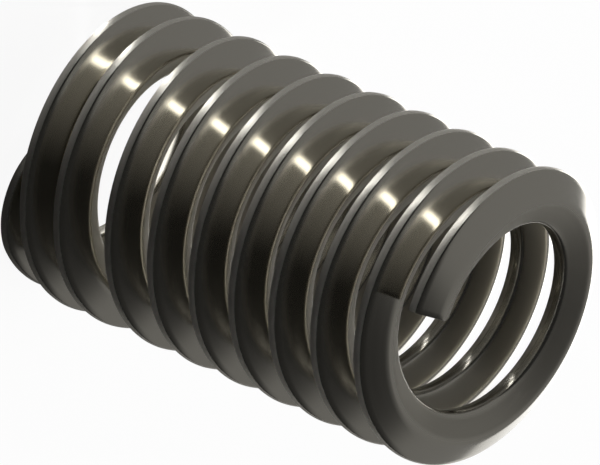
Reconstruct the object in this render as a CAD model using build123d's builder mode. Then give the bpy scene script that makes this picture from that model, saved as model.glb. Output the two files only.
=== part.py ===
"""Free-running helical thread insert, for a 1/4-20 screw, 2.5 diameters long.

One piece of rhombic stainless wire wound right-handed, in its free state, before
it is driven into its tapped hole. Its leading end is bent in across the bore as
the tang that the driving tool turns it by. It stands on that end: +Z is the coil's
axis, the trailing end is up, and the origin is on the axis at the lowest point.
"""
import os
from math import radians, tan

from build123d import *

# Wire section, in a plane through the coil's axis
wire_width = 1.12
wire_height = 1.48
outer_flat = 0.22
inner_flat = 0.36

# Free coil
coil_radius = 4.20
coil_pitch = 1.445
coil_turns = 6
trailing_turn = 0.90

# Leading end: its last part closes in, and above that it stands closer and then wider
closing_turn = 0.441
closing_in = 0.36
closing_rise = 0.63
close_pitch = 1.17
open_pitch = 1.76

# Driving tang, with the notch where it breaks off once the insert is in
tang_bend_radius = 1.28
tang_bend_angle = 99
tang_length = 3.20
notch_depth = 0.34
notch_angle = 70

# The coil is wound in runs of this many turns, with what is left over at the top
run_turns = 0.5

half_width = wire_width / 2
half_height = wire_height / 2
middle_radius = coil_radius - half_height


def wire_section(radius):
    """The wire's rhombus in the plane y = 0, with its centre at this radius.

    Both of its crests run out to points, for crest_tube to turn down to flats.
    """
    outer_rise = half_width - outer_flat / 2
    inner_rise = half_width - inner_flat / 2
    side = half_height - wire_height * outer_rise / (outer_rise + inner_rise)
    outer_point = side + half_width * (half_height - side) / outer_rise
    inner_point = side - half_width * (half_height + side) / inner_rise
    outline = [(outer_point, 0), (side, half_width), (inner_point, 0), (side, -half_width)]
    with BuildSketch(Plane.XZ) as section:
        with BuildLine():
            Polyline(*[(radius + out, up) for out, up in outline], close=True)
        make_face()
    return section.sketch


def crest_tube(radius, rise):
    """The tube between the cylinders that the wire's two crests lie on."""
    with BuildPart() as tube:
        with BuildSketch(Plane.XZ):
            with Locations((radius, rise / 2)):
                Rectangle(wire_height, rise + 2 * wire_width)
        revolve(axis=Axis.Z)
    return tube.part


def wire_run(turns, pitch, radius=middle_radius):
    """A stretch of wire wound round the Z axis, from the plane y = 0 up."""
    rise = turns * pitch
    with BuildPart() as run:
        with BuildLine() as path:
            Helix(pitch=pitch, height=rise, radius=radius)
        sweep(wire_section(radius), path=path.line, is_frenet=True)
        add(crest_tube(radius, rise), mode=Mode.INTERSECT)
    return run.part


def tang(radius):
    """The wire from the plane y = 0 at this radius, bent in and on across the bore."""
    bend_line = Axis((radius - tang_bend_radius, 0, 0), (0, 0, 1))
    with BuildPart() as bent_wire:
        with BuildSketch(Plane.XZ) as end_section:
            add(wire_section(radius))
            with Locations((radius, 0)):
                Rectangle(wire_height, wire_width, mode=Mode.INTERSECT)
        revolve(axis=bend_line, revolution_arc=-tang_bend_angle)
        straight = end_section.sketch.rotate(bend_line, -tang_bend_angle)
        extrude(straight, amount=tang_length)
    return bent_wire.part


def break_off_notch(radius):
    """The wedge that the notch takes out of the wire's inner side, at y = 0."""
    half_opening = notch_depth * tan(radians(notch_angle / 2))
    inner = radius - half_height
    with BuildPart() as wedge:
        with BuildSketch(Plane.XY.offset(-half_width)):
            with BuildLine():
                Polyline(
                    (inner + notch_depth, 0),
                    (inner - notch_depth, 2 * half_opening),
                    (inner - notch_depth, -2 * half_opening),
                    close=True,
                )
            make_face()
        extrude(amount=wire_width)
    return wedge.part


# The closing run winds about a line beside the axis, so it leaves the coil smoothly
closing_radius = middle_radius - closing_in / 2
closing_place = Location((closing_in / 2, 0, half_width), (0, 0, -360 * closing_turn))

# From there up: each run's pitch, and how many runs have it
pitches = [
    (close_pitch, 3),
    (open_pitch, 2),
    (coil_pitch, 1 + round(coil_turns / run_turns)),
]

with BuildPart() as wire_coil:
    with Locations(closing_place):
        add(tang(closing_radius))
        add(wire_run(closing_turn, closing_rise / closing_turn, closing_radius))
        add(break_off_notch(closing_radius), mode=Mode.SUBTRACT)
    level = half_width + closing_rise
    angle = 0
    for pitch, run_count in pitches:
        run = wire_run(run_turns, pitch)
        for place in range(run_count):
            with Locations(Location((0, 0, level), (0, 0, angle))):
                add(run)
            level += run_turns * pitch
            angle += 360 * run_turns
    with Locations(Location((0, 0, level), (0, 0, angle))):
        add(wire_run(trailing_turn - run_turns, coil_pitch))

wire_coil.part.label = "wire_coil"
os.makedirs("parts", exist_ok=True)
export_step(wire_coil.part, "parts/wire_coil.step")
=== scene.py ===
"""Free-running helical thread insert of drawn rhombic wire, seen from above."""

from math import atan2, cos, pi, radians, sin, tan, tau

import bmesh
import bpy
from mathutils import Matrix, Vector


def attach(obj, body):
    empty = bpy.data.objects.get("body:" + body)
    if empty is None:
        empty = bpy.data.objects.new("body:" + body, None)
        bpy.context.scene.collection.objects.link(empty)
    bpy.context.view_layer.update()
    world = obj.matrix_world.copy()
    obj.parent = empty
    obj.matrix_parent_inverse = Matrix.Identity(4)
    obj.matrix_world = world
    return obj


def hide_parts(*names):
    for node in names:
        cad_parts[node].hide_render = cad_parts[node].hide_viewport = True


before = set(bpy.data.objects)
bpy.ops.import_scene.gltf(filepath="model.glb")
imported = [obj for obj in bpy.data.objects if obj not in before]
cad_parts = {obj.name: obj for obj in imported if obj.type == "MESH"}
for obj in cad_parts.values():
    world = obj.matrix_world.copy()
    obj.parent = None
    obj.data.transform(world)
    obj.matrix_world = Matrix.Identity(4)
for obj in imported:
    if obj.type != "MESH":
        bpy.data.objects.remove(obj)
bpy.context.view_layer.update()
mm = 0.001

# Wire section, in a plane through the coil's axis
wire_width = 1.12 * mm
wire_height = 1.48 * mm
outer_flat = 0.22 * mm
inner_flat = 0.36 * mm

# Its faces are a little crowned, and its corners rounded back from their points this far
crown = 0.010 * mm
outer_rounding = 0.05 * mm
side_rounding = 0.12 * mm
inner_rounding = 0.06 * mm
end_rounding = 0.03 * mm

# Free coil, and the part of its first turn that closes in towards the tang
coil_radius = 4.20 * mm
coil_pitch = 1.445 * mm
wound_turns = 9.847
steps_per_turn = 144
closing_in = 0.27 * mm
closing_turn = 0.441

# Driving tang, with the notch where it breaks off
tang_bend_radius = 1.28 * mm
tang_bend_angle = 99
tang_bend_steps = 36
tang_length = 3.20 * mm
notch_depth = 0.34 * mm
notch_angle = 70

half_turn = 0.5
half_width = wire_width / 2
half_height = wire_height / 2
middle_radius = coil_radius - half_height

# The lower turns stand unevenly: the wire's rise where the closed-in part ends, then
# some half turns standing closer and some wider
closing_rise = 0.53 * mm
close_pitch = 1.17 * mm
close_half_turns = 3
open_pitch = 1.76 * mm
open_half_turns = 2

# The wire's rise over the closed-in part, and then over each half turn
rise_steps = [closing_rise]
rise_steps += [close_pitch * half_turn] * close_half_turns
rise_steps += [open_pitch * half_turn] * open_half_turns
rise_steps += [coil_pitch * half_turn] * 2 * int(wound_turns)

# The upper turns sag a little on one side: how far, where round the coil, and between
# which turns it sets in
sag = 0.29 * mm
sag_azimuth = 167
sag_from = 4.0
sag_to = 8.0


# ---------------------------------------------------------------- camera
def toward(azimuth, elevation):
    """Unit vector that points this way from the object."""
    level = cos(radians(elevation))
    return Vector((
        level * cos(radians(azimuth)),
        level * sin(radians(azimuth)),
        sin(radians(elevation)),
    ))


view_azimuth = 137.01
view_elevation = 33.36
view_roll = 113.72
view_distance = 274.75 * mm
view_target = Vector((0.061, -0.011, 7.507)) * mm
view_back = toward(view_azimuth, view_elevation)

camera_data = bpy.data.cameras.new("camera")
camera_data.sensor_width = 36
camera_data.lens = 635.1
camera_data.clip_start = 0.01
camera = bpy.data.objects.new("camera", camera_data)
level_turn = view_back.to_track_quat("Z", "Y").to_matrix().to_4x4()
rolled = level_turn @ Matrix.Rotation(radians(view_roll), 4, "Z")
camera.matrix_world = Matrix.Translation(view_target + view_back * view_distance) @ rolled
bpy.context.collection.objects.link(camera)
bpy.context.scene.camera = camera


# ---------------------------------------------------------------- wire
def wire_outline(bm, around):
    """Edges of the wire's rounded rhombus in the plane y = 0, at the coil's radius."""
    outer_rise = half_width - outer_flat / 2
    inner_rise = half_width - inner_flat / 2
    crest = half_height - crown
    side = crest - 2 * crest * outer_rise / (outer_rise + inner_rise)
    outline = [
        (crest, -outer_flat / 2, outer_rounding, 3),
        (crest, outer_flat / 2, outer_rounding, 3),
        (side, half_width, side_rounding, 4),
        (-crest, inner_flat / 2, inner_rounding, 3),
        (-crest, -inner_flat / 2, inner_rounding, 3),
        (side, -half_width, side_rounding, 4),
    ]
    corners = [bm.verts.new((middle_radius + out, 0, up)) for out, up, cut, rounds in outline]
    bm.faces.new(corners)
    for corner, (out, up, cut, rounds) in zip(corners, outline):
        bmesh.ops.bevel(
            bm, geom=[corner], offset=cut, segments=rounds, profile=0.5, affect="VERTICES"
        )
    bmesh.ops.delete(bm, geom=bm.faces[:], context="FACES_ONLY")
    crown_faces(bm)
    # How far round the wire each point is, from 0 to 1
    vert = max(bm.verts, key=lambda point: (point.co.x, point.co.z))
    edge = max(vert.link_edges, key=lambda link: link.other_vert(vert).co.z)
    length = sum(link.calc_length() for link in bm.edges)
    distance = 0
    for step in range(len(bm.verts)):
        vert[around] = distance / length
        distance += edge.calc_length()
        vert = edge.other_vert(vert)
        edge = next(link for link in vert.link_edges if link != edge)
    return bm.edges[:]


def crown_faces(bm):
    """Bulge each straight side of the wire's outline, the crests more than the flanks."""
    shortest_side = 0.1 * mm
    middle = Vector((middle_radius, 0, 0))
    for edge in [edge for edge in bm.edges if edge.calc_length() > shortest_side]:
        start, end = (vert.co.copy() for vert in edge.verts)
        out = (end - start).cross(Vector((0, 1, 0))).normalized()
        if out.dot((start + end) / 2 - middle) < 0:
            out = -out
        bulge = crown if abs(out.x) > 0.9 else crown / 3
        made = bmesh.ops.subdivide_edges(bm, edges=[edge], cuts=5)
        for vert in made["geom_inner"]:
            if isinstance(vert, bmesh.types.BMVert):
                share = (vert.co - start).length / (end - start).length
                vert.co += out * bulge * 4 * share * (1 - share)


def eased(share):
    """0 to 1 as share goes from 0 to 1, level at both ends."""
    return share ** 2 * (3 - 2 * share)


def sagging(turn):
    """How far the wire stands below an even turn's height, after this many turns."""
    set_in = min(1, max(0, (turn - sag_from) / (sag_to - sag_from)))
    facing = cos(tau * (turn - closing_turn) - radians(sag_azimuth))
    return sag * eased(set_in) * ((1 + facing) / 2) ** 3


def wire_rise(turn):
    """Height of the wire's middle above that of its first end, after this many turns."""
    height = 0
    start = 0
    span = closing_turn
    slope = 0
    for step, after in zip(rise_steps, rise_steps[1:]):
        end_slope = (step + after) / (span + half_turn)
        if turn <= start + span:
            break
        height += step
        start += span
        span = half_turn
        slope = end_slope
    share = (turn - start) / span
    rise = eased(share) * step
    rise += share * (1 - share) ** 2 * slope * span
    rise -= share ** 2 * (1 - share) * end_slope * span
    return height + rise - sagging(turn)


def wound_wire():
    """The wire wound evenly from the plane y = 0, its ends left open."""
    bm = bmesh.new()
    around = bm.verts.layers.float.new("around")
    outline = wire_outline(bm, around)
    bmesh.ops.spin(
        bm,
        geom=outline,
        cent=(0, 0, 0),
        axis=(0, 0, 1),
        dvec=(0, 0, coil_pitch / steps_per_turn),
        angle=tau,
        steps=steps_per_turn,
    )
    first_turn = bm.verts[:] + bm.edges[:] + bm.faces[:]
    for turn in range(1, int(wound_turns) + 1):
        made = bmesh.ops.duplicate(bm, geom=first_turn)
        verts = [part for part in made["geom"] if isinstance(part, bmesh.types.BMVert)]
        bmesh.ops.translate(bm, vec=(0, 0, turn * coil_pitch), verts=verts)
    bmesh.ops.remove_doubles(bm, verts=bm.verts[:], dist=0.001 * mm)
    return bm, around


def turn_of(place):
    """How many turns have been wound where the evenly wound wire passes this place."""
    share = atan2(place.y, place.x) / tau
    return share + round(place.z / coil_pitch - share)


def bend_tang(bm, turns):
    """Carry the wire on from its first end: bent inwards, then straight, with the notch."""
    end = [edge for edge in bm.edges if edge.is_boundary and edge.verts[0][turns] < 1]
    end_verts = {vert for edge in end for vert in edge.verts}
    begin = sum((vert.co for vert in end_verts), Vector()) / len(end_verts)
    begin.x = (max(vert.co.x for vert in end_verts) + min(vert.co.x for vert in end_verts)) / 2
    middle = begin - Vector((tang_bend_radius, 0, 0))
    wound = set(bm.verts)
    bend = bmesh.ops.spin(
        bm,
        geom=end + list(end_verts),
        cent=middle,
        axis=(0, 0, 1),
        angle=-radians(tang_bend_angle),
        steps=tang_bend_steps,
    )
    for vert in set(bm.verts) - wound:
        turned = atan2(middle.y - vert.co.y, vert.co.x - middle.x)
        vert[turns] = -turned * tang_bend_radius / (tau * middle_radius)
    last = [part for part in bend["geom_last"] if isinstance(part, bmesh.types.BMEdge)]
    straight = bmesh.ops.extrude_edge_only(bm, edges=last)["geom"]
    tip = [part for part in straight if isinstance(part, bmesh.types.BMVert)]
    along = Matrix.Rotation(-radians(tang_bend_angle), 4, "Z") @ Vector((0, -tang_length, 0))
    bmesh.ops.translate(bm, vec=along, verts=tip)
    for vert in tip:
        vert[turns] -= tang_length / (tau * middle_radius)
    cut_notch(bm, turns, begin)


def cut_notch(bm, turns, begin):
    """Press the notch into the wire's inner side, where the tang begins."""
    inner = begin.x - half_height
    for vert in bm.verts:
        aside = abs(vert.co.y - begin.y)
        if vert[turns] < 0.1 and aside < 1.2 * notch_depth:
            depth = notch_depth - aside / tan(radians(notch_angle / 2))
            vert.co.x = max(vert.co.x, inner + depth)


def lay_streaks(bm, around, turns):
    """Texture coordinates: how far round the wire, and along it in turns."""
    uv = bm.loops.layers.uv.new("along_wire")
    for face in bm.faces:
        wraps = max(loop.vert[around] for loop in face.loops) > 0.9
        for loop in face.loops:
            turned = loop.vert[around]
            if wraps and turned < 0.1:
                turned += 1
            loop[uv].uv = (turned, loop.vert[turns])


def wire_coil():
    """The whole wire: coil, closed-in part and tang, in the frame's own place."""
    bm, around = wound_wire()
    turns = bm.verts.layers.float.new("turns")
    for vert in bm.verts:
        vert[turns] = turn_of(vert.co)
    top = wound_turns + 0.5 / steps_per_turn
    extra = [vert for vert in bm.verts if vert[turns] > top]
    bmesh.ops.delete(bm, geom=extra, context="VERTS")
    steps = range(int(top * steps_per_turn) + 1)
    rises = [wire_rise(step / steps_per_turn) for step in steps]
    full_coil = Matrix.Rotation(tau * closing_turn, 4, "Z") @ Vector((closing_in / 2, 0, 0))
    for vert in bm.verts:
        turn = vert[turns]
        vert.co.z += half_width + rises[round(turn * steps_per_turn)] - turn * coil_pitch
        if turn < closing_turn:
            vert.co += full_coil - closing_in / 2 * vert.co.xy.normalized().to_3d()
    bend_tang(bm, turns)
    lay_streaks(bm, around, turns)
    start = Matrix.Rotation(-tau * closing_turn, 4, "Z")
    bmesh.ops.transform(bm, matrix=start, verts=bm.verts[:])
    ends = [edge for edge in bm.edges if edge.is_boundary]
    bmesh.ops.holes_fill(bm, edges=ends)
    bmesh.ops.bevel(
        bm, geom=ends, offset=end_rounding, segments=2, profile=0.5, affect="EDGES"
    )
    bmesh.ops.recalc_face_normals(bm, faces=bm.faces[:])
    mesh = bpy.data.meshes.new("coil")
    bm.to_mesh(mesh)
    bm.free()
    mesh.polygons.foreach_set("use_smooth", [True] * len(mesh.polygons))
    coil = bpy.data.objects.new("coil", mesh)
    bpy.context.collection.objects.link(coil)
    weighted = coil.modifiers.new("flank_normals", "WEIGHTED_NORMAL")
    weighted.keep_sharp = True
    return coil


coil = wire_coil()
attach(coil, "root")
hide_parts("wire_coil")


# ---------------------------------------------------------------- materials
def plain_material(name, colour, roughness=0.5, metallic=0.0):
    material = bpy.data.materials.new(name)
    material.use_nodes = True
    shader = material.node_tree.nodes["Principled BSDF"]
    shader.inputs["Base Color"].default_value = (*colour, 1)
    shader.inputs["Roughness"].default_value = roughness
    shader.inputs["Metallic"].default_value = metallic
    return material


def node(tree, kind, inputs=None, **settings):
    """Add a shader node; each input is a number, a colour or another node's output."""
    made = tree.nodes.new("ShaderNode" + kind)
    for name, value in settings.items():
        setattr(made, name, value)
    for key, value in (inputs or {}).items():
        if isinstance(value, bpy.types.NodeSocket):
            tree.links.new(value, made.inputs[key])
        else:
            made.inputs[key].default_value = value
    return made


def larger(tree, first, second):
    """The larger of two outputs."""
    return node(tree, "Math", {0: first, 1: second}, operation="MAXIMUM").outputs[0]


# The steel's colour, and a paler copy of it on the outer crest: painted sheen, brighter than
# steel can be, standing in for the light the rounded crest shows
steel_colour = (0.60, 0.572, 0.50)
painted_sheen_colour = (0.92, 0.885, 0.80)

# Places round the wire, from 0 to 1, each with half its width: the outer crest on both
# sides of where 1 meets 0, then the inner crest, then the two faces towards the bore
outer_crest = [(0.975, 0.036), (0.0, 0.024)]
inner_crest = (0.472, 0.046)
bore_faces = [(0.350, 0.080), (0.594, 0.080)]

# How rough each is, from the smoothest of its fine lines to the roughest
flank_roughness = (0.11, 0.17)
inner_crest_roughness = (0.10, 0.18)
outer_crest_roughness = (0.42, 0.56)
bore_roughness = (0.45, 0.60)


def drawn_steel():
    """Drawn wire: fine lines run along it, and some of its faces are duller all along. The outer
    crest is painted a paler colour, a painted sheen.
    """
    material = plain_material("drawn_steel", steel_colour, metallic=1.0)
    tree = material.node_tree
    shader = tree.nodes["Principled BSDF"]
    wire = node(tree, "UVMap", uv_map="along_wire").outputs["UV"]
    place = node(tree, "SeparateXYZ", {0: wire})
    stretched = node(tree, "Mapping", {"Vector": wire, "Scale": (90, 5, 1)}).outputs[0]
    lines = node(tree, "TexNoise", {"Vector": stretched, "Scale": 1, "Detail": 3}).outputs[0]

    def band(middle, half):
        """1 near this place round the wire, fading to 0 about this far from it."""
        away = node(tree, "Math", {0: place.outputs["X"], 1: middle}, operation="SUBTRACT")
        size = node(tree, "Math", {0: away.outputs[0]}, operation="ABSOLUTE")
        inside = {"Value": size.outputs[0], "From Min": 1.25 * half, "From Max": 0.75 * half}
        return node(tree, "MapRange", inside).outputs[0]

    def lined(roughness):
        """Roughness that follows the fine lines, between these two values."""
        smooth, rough = roughness
        limits = {"Value": lines, "To Min": smooth, "To Max": rough}
        return node(tree, "MapRange", limits).outputs[0]

    def blend(share, first, second):
        return node(tree, "Mix", {0: share, 2: first, 3: second}).outputs[0]

    inner = band(*inner_crest)
    outer = larger(tree, *(band(*side) for side in outer_crest))
    bore_side = larger(tree, *(band(*face) for face in bore_faces))
    dull = blend(inner, lined(flank_roughness), lined(inner_crest_roughness))
    dull = blend(outer, dull, lined(outer_crest_roughness))
    dull = blend(bore_side, dull, lined(bore_roughness))
    # Painted sheen: the outer crest gets the paler colour, brighter than the steel's own
    paler = {0: outer, 6: (*steel_colour, 1), 7: (*painted_sheen_colour, 1)}
    paler = node(tree, "Mix", paler, data_type="RGBA")
    along = node(tree, "Tangent", direction_type="UV_MAP", uv_map="along_wire")
    tree.links.new(paler.outputs[2], shader.inputs["Base Color"])
    tree.links.new(dull, shader.inputs["Roughness"])
    tree.links.new(along.outputs[0], shader.inputs["Tangent"])
    shader.inputs["Anisotropic"].default_value = 0.85
    return material


coil.data.materials.append(drawn_steel())


# ---------------------------------------------------------------- studio
def studio_sheet(name, bm, material):
    """A flat sheet of the studio, from this mesh."""
    mesh = bpy.data.meshes.new(name)
    bm.to_mesh(mesh)
    bm.free()
    sheet = bpy.data.objects.new(name, mesh)
    sheet.data.materials.append(material)
    bpy.context.collection.objects.link(sheet)
    return sheet


def ramp(tree, stops):
    """A colour ramp of greys from pairs of place and level."""
    made = node(tree, "ValToRGB")
    points = made.color_ramp.elements
    while len(points) > 1:
        points.remove(points[-1])
    points[0].position = stops[0][0]
    points[0].color = (*[stops[0][1]] * 3, 1)
    for place, level in stops[1:]:
        point = points.new(place)
        point.color = (level, level, level, 1)
    return made


def white_floor():
    """White paper that glows to the camera and in reflections, and still takes shadow."""
    material = plain_material("floor_white", (0.9, 0.9, 0.9), roughness=0.9)
    tree = material.node_tree
    path = node(tree, "LightPath")
    seen = larger(tree, path.outputs["Is Camera Ray"], path.outputs["Is Glossy Ray"])
    seen = larger(tree, seen, path.outputs["Is Transmission Ray"])
    share = node(tree, "Math", {0: seen, 1: 0.9}, operation="MULTIPLY").outputs[0]
    glow = node(tree, "Emission", {"Color": (1, 1, 1, 1), "Strength": 1.035}).outputs[0]
    paper = tree.nodes["Principled BSDF"].outputs[0]
    mixed = node(tree, "MixShader", {0: share, 1: paper, 2: glow}).outputs[0]
    tree.links.new(mixed, tree.nodes["Material Output"].inputs["Surface"])
    return material


bm = bmesh.new()
bmesh.ops.create_grid(bm, x_segments=1, y_segments=1, size=2)
floor = studio_sheet("floor", bm, white_floor())

# A round card just above the floor glows in sectors, with the object in its middle. Only
# reflections show it: the camera, the floor and the shadows don't. Each stop is an angle
# from the camera's side, clockwise as seen from above, and a brightness.
fan_levels = [
    (-180, 1.8), (-168, 1.0), (-152, 0.45), (-144, 0.19), (-128, 0.17), (-114, 0.10),
    (-95, 0.035), (-50, 0.018), (-24, 0.018), (-12, 0.048), (0, 0.095), (20, 0.19), (36, 0.26),
    (50, 0.34), (51, 5.2), (57, 5.2), (58, 0.30), (70, 0.20), (90, 0.20), (120, 0.24),
    (142, 0.25), (145, 2.2), (180, 2.2),
]
fan_peak = 5.2
fan_radius = 0.3
fan_height = 0.1 * mm


def fan_card():
    """Card whose glow follows fan_levels round its middle."""
    material = bpy.data.materials.new("fan_card")
    material.use_nodes = True
    tree = material.node_tree
    tree.nodes.clear()
    place = node(tree, "TexCoord").outputs["Object"]
    clockwise = node(tree, "Mapping", {"Vector": place, "Scale": (1, -1, 1)}).outputs[0]
    around = node(tree, "TexGradient", {"Vector": clockwise}, gradient_type="RADIAL")
    levels = ramp(tree, [((angle + 180) / 360, level / fan_peak) for angle, level in fan_levels])
    tree.links.new(around.outputs["Fac"], levels.inputs["Fac"])
    light = {"Color": levels.outputs["Color"], "Strength": fan_peak}
    light = node(tree, "Emission", light).outputs[0]
    node(tree, "OutputMaterial", {"Surface": light})
    return material


bm = bmesh.new()
bmesh.ops.create_circle(bm, segments=96, radius=fan_radius)
bmesh.ops.holes_fill(bm, edges=bm.edges[:])
fan = studio_sheet("fan_card", bm, fan_card())
fan.location.z = fan_height
fan.rotation_euler.z = radians(view_azimuth)
fan.visible_camera = False
fan.visible_shadow = False
fan.visible_diffuse = False

# The studio's walls: grey behind the object and to one side, dark elsewhere. Each stop is
# the cosine of a wall's angle from the palest direction, and a brightness.
palest = toward(view_azimuth + 212, 19)
wall_levels = [(0, 0.02), (0.24, 0.03), (0.28, 0.06), (0.33, 0.15), (0.37, 0.2), (1, 0.22)]

world = bpy.data.worlds.new("studio")
world.use_nodes = True
tree = world.node_tree
place = node(tree, "TexCoord").outputs["Generated"]
cosine = node(tree, "VectorMath", {0: place, 1: palest}, operation="DOT_PRODUCT")
walls = ramp(tree, wall_levels)
tree.links.new(cosine.outputs["Value"], walls.inputs["Fac"])
tree.links.new(walls.outputs["Color"], tree.nodes["Background"].inputs["Color"])
bpy.context.scene.world = world
bpy.context.scene.view_settings.view_transform = "Standard"


def soft_lamp(name, azimuth, elevation, size, distance, level):
    """A square soft box that faces the object; level is its brightness as seen."""
    data = bpy.data.lights.new(name, "AREA")
    data.shape = "RECTANGLE"
    data.size = size
    data.size_y = size
    data.energy = level * pi * size * size
    lamp = bpy.data.objects.new(name, data)
    lamp.location = toward(azimuth, elevation) * distance + Vector((0, 0, 8)) * mm
    lamp.rotation_euler = toward(azimuth, elevation).to_track_quat("Z", "Y").to_euler()
    bpy.context.collection.objects.link(lamp)
    return lamp


# It lights the floor and gives the object its shadow there; the steel doesn't show it
top_lamp = soft_lamp("top_lamp", view_azimuth + 180, 64, size=0.45, distance=0.6, level=3)
top_lamp.visible_glossy = False
